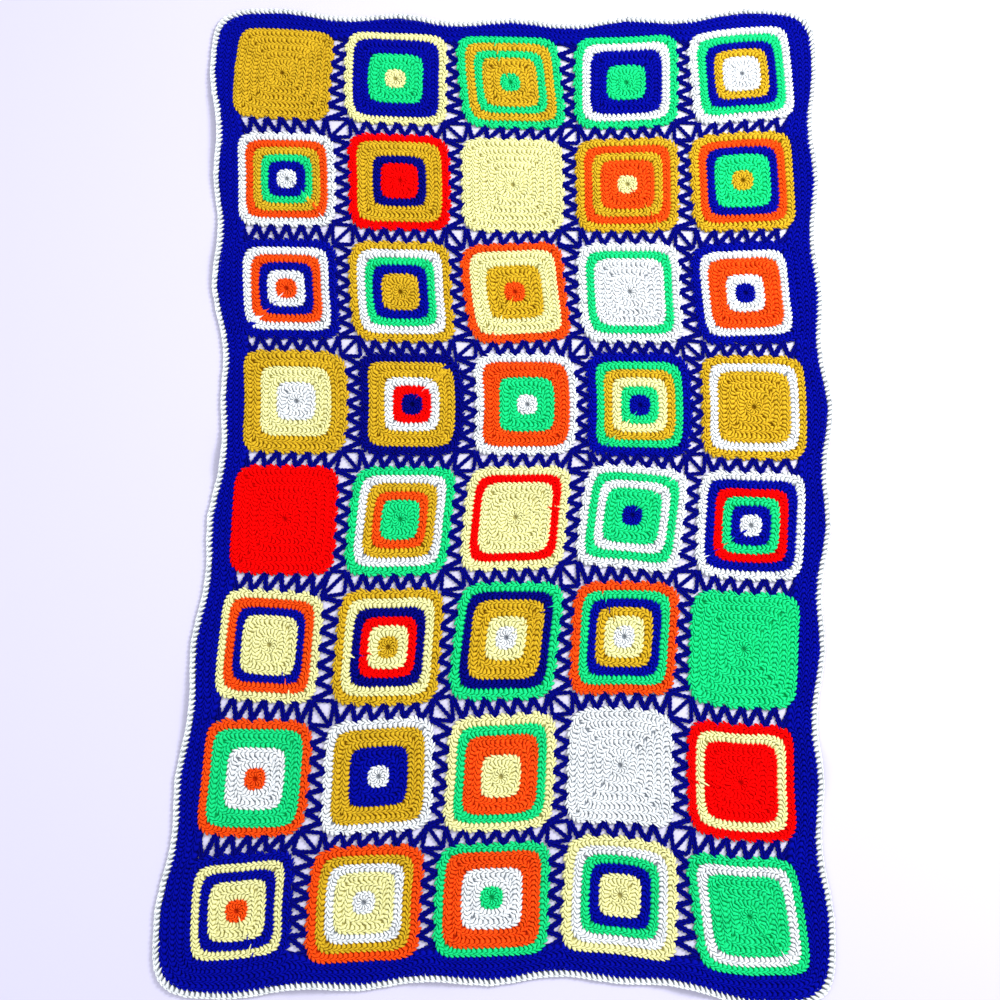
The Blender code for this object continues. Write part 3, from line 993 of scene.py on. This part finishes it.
def yarn_material(name):
    """Twisted yarn: its painted shade colour in the creases, its own colour on the crowns where the painted
    light is full, with fine fibres.
    """
    yarn = YARNS[name]
    material = bpy.data.materials.new(f"yarn_{name}")
    material.use_nodes = True
    tree = material.node_tree
    shader = tree.nodes["Principled BSDF"]
    shader.inputs["Roughness"].default_value = YARN_ROUGHNESS
    shader.inputs["Specular IOR Level"].default_value = YARN_SHINE
    relief = relief_value(tree)
    # Painted shade in the plies' grooves, and random fibre colour, from the relief that also drives the
    # bump
    ply_shade_and_fibres = math_value(tree, "MULTIPLY_ADD", relief, RELIEF_IN_COLOUR, -RELIEF_IN_COLOUR / 2)
    mix = tree.nodes.new("ShaderNodeMix")
    mix.data_type = "RGBA"
    factor, shade, colour = mix.inputs[0], mix.inputs[6], mix.inputs[7]
    # The painted shade colour shows where the painted light is low, and the yarn's own colour where it is
    # full
    shade.default_value = (*yarn.shade, 1.0)
    colour.default_value = (*yarn.colour, 1.0)
    tree.links.new(math_value(tree, "ADD", attribute_value(tree, "painted_light"), ply_shade_and_fibres, clamp=True), factor)
    tree.links.new(mix.outputs[2], shader.inputs["Base Color"])
    bump = tree.nodes.new("ShaderNodeBump")
    bump.inputs["Strength"].default_value = BUMP_STRENGTH
    bump.inputs["Distance"].default_value = BUMP_HEIGHT
    tree.links.new(relief, bump.inputs["Height"])
    tree.links.new(bump.outputs["Normal"], shader.inputs["Normal"])
    return material


def add_floor():
    mesh = bpy.data.meshes.new("floor")
    half = FLOOR_SIZE / 2
    corners = [(-half, -half, 0.0), (half, -half, 0.0), (half, half, 0.0), (-half, half, 0.0)]
    mesh.from_pydata(corners, [], [(0, 1, 2, 3)])
    floor = bpy.data.objects.new("floor", mesh)
    bpy.context.scene.collection.objects.link(floor)
    material = bpy.data.materials.new("pale_floor")
    material.use_nodes = True
    shader = material.node_tree.nodes["Principled BSDF"]
    shader.inputs["Base Color"].default_value = FLOOR_COLOUR
    shader.inputs["Roughness"].default_value = FLOOR_ROUGHNESS
    mesh.materials.append(material)


def add_light(lamp):
    """A soft square light that faces the blanket's middle."""
    area = bpy.data.lights.new(lamp.name, "AREA")
    area.shape = "SQUARE"
    area.size = lamp.size
    area.energy = lamp.power
    light = bpy.data.objects.new(lamp.name, area)
    light.location = lamp.place
    light.rotation_euler = (-Vector(lamp.place)).to_track_quat("-Z", "Y").to_euler()
    bpy.context.scene.collection.objects.link(light)


def add_lights():
    for lamp in LAMPS:
        add_light(lamp)
    world = bpy.data.worlds.new("studio")
    world.use_nodes = True
    background = world.node_tree.nodes["Background"]
    background.inputs["Color"].default_value = SKY_COLOUR
    background.inputs["Strength"].default_value = SKY_STRENGTH
    bpy.context.scene.world = world


def add_camera():
    lens = bpy.data.cameras.new("camera")
    lens.lens = CAMERA_LENS
    lens.sensor_width = CAMERA_SENSOR
    camera = bpy.data.objects.new("camera", lens)
    axes = [CAMERA_RIGHT, CAMERA_UP, CAMERA_BACK, CAMERA_PLACE]
    matrix = Matrix.Identity(4)
    for index, axis in enumerate(axes):
        matrix.col[index].xyz = axis
    camera.matrix_world = matrix
    bpy.context.scene.collection.objects.link(camera)
    bpy.context.scene.camera = camera


def add_lace(draw):
    chains = Heap()
    add_chains(chains, zigzag_lines(draw), 1.0, KNOT, draw)
    add_chains(chains, all_crossing_lines(), CROSSING_WIDTH, 0.0, draw)
    lace = add_piece("lace_chain", chains.mesh("lace_chain", [MATERIALS["navy"]]), "navy")
    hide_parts("joining_lace")
    return lace


def add_edge(draw):
    """The blue border and the white edging."""
    beside, seam, edge = border_lines()
    blue_share = BORDER_LEFT / (BORDER_LEFT + EDGING_WIDTH)
    border = Band(beside, seam, 0.0, blue_share)
    edging = Band(seam, edge, blue_share, 1.0)
    blue = band_stitches(border, STITCH_SHAPE, BORDER_STITCH, BORDER_ROUNDS, draw)
    white = band_stitches(edging, EDGING_SHAPE, EDGING_STITCH, 1, draw)
    base, *rest = add_band("border", border, "blue", "blue_border", blue, BORDER_BASE, BORDER_BASE_ROWS)
    rest += add_band("edging", edging, "white", "white_edging", white, EDGING_BASE, EDGING_BASE_ROWS)
    width = float(np.linalg.norm(border.outer - border.inner, axis=1).mean())
    width *= BORDER_BASE[1] - BORDER_BASE[0]
    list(rest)


def add_blanket():
    draw = np.random.default_rng(SEED)
    for row in range(1, ROWS + 1):
        for column in range(1, COLUMNS + 1):
            add_square(row, column, draw)
    lace = add_lace(draw)
    add_edge(draw)


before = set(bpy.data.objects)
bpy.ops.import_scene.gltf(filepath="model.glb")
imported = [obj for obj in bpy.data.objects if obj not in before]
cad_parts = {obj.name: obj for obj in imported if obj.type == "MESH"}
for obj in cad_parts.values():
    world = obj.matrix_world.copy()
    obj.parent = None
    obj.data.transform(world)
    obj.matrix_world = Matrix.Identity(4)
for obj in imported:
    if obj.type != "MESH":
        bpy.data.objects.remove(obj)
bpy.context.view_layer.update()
OFFSET = frame_offset()
OUTLINES = [Outline(fullness) for fullness in EDGE_FULLNESS]
STITCH_SHAPE = stitch_shape(STITCH)
FULL_SHAPE = stitch_shape(FULL_STITCH)
START_SHAPE = stitch_shape((START,))
EDGING_SHAPE = stitch_shape(EDGING)
CHAIN_SHAPE = stitch_shape(CHAIN, height=1.0, pitch=CHAIN_LINK)
MATERIALS = {name: yarn_material(name) for name in YARNS}
add_blanket()
add_floor()
add_lights()
add_camera()
bpy.context.scene.view_settings.view_transform = "Standard"
